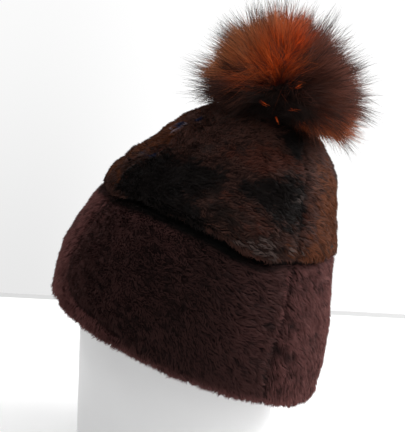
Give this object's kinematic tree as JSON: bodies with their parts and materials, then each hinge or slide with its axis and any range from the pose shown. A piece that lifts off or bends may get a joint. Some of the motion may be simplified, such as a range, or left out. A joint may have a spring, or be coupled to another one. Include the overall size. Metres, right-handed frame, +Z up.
{
  "type": "fur pom-pom beanie on a plain stand",
  "caption": "Sheared fur beanie with a gored crown over a wide fur band and a long-haired fur pompom, worn tilted on a plain white domed stand.",
  "frame": {"origin": "centre of the stand's flat underside", "axes": "+Z up along the stand's axis; -Y is the beanie's front as pictured; +X is the viewer's right, towards which the beanie leans"},
  "size_m": [0.2296, 0.2218, 0.3543],
  "materials": {
    "band_fur": "sheared plum-brown fur, dense and soft",
    "crown_fur": "sheared fur in dark brown, black and tan patches",
    "pompom_fur": "long rust-orange fur with dark tips",
    "stand_white": "smooth, satin white"
  },
  "bodies": {
    "root": {"band_front": "band_fur", "band_right": "band_fur", "band_back": "band_fur", "band_left": "band_fur", "crown_front": "crown_fur", "crown_right": "crown_fur", "crown_back": "crown_fur", "crown_left": "crown_fur", "pompom": "pompom_fur", "stand": "stand_white"}
  },
  "joints": []
}
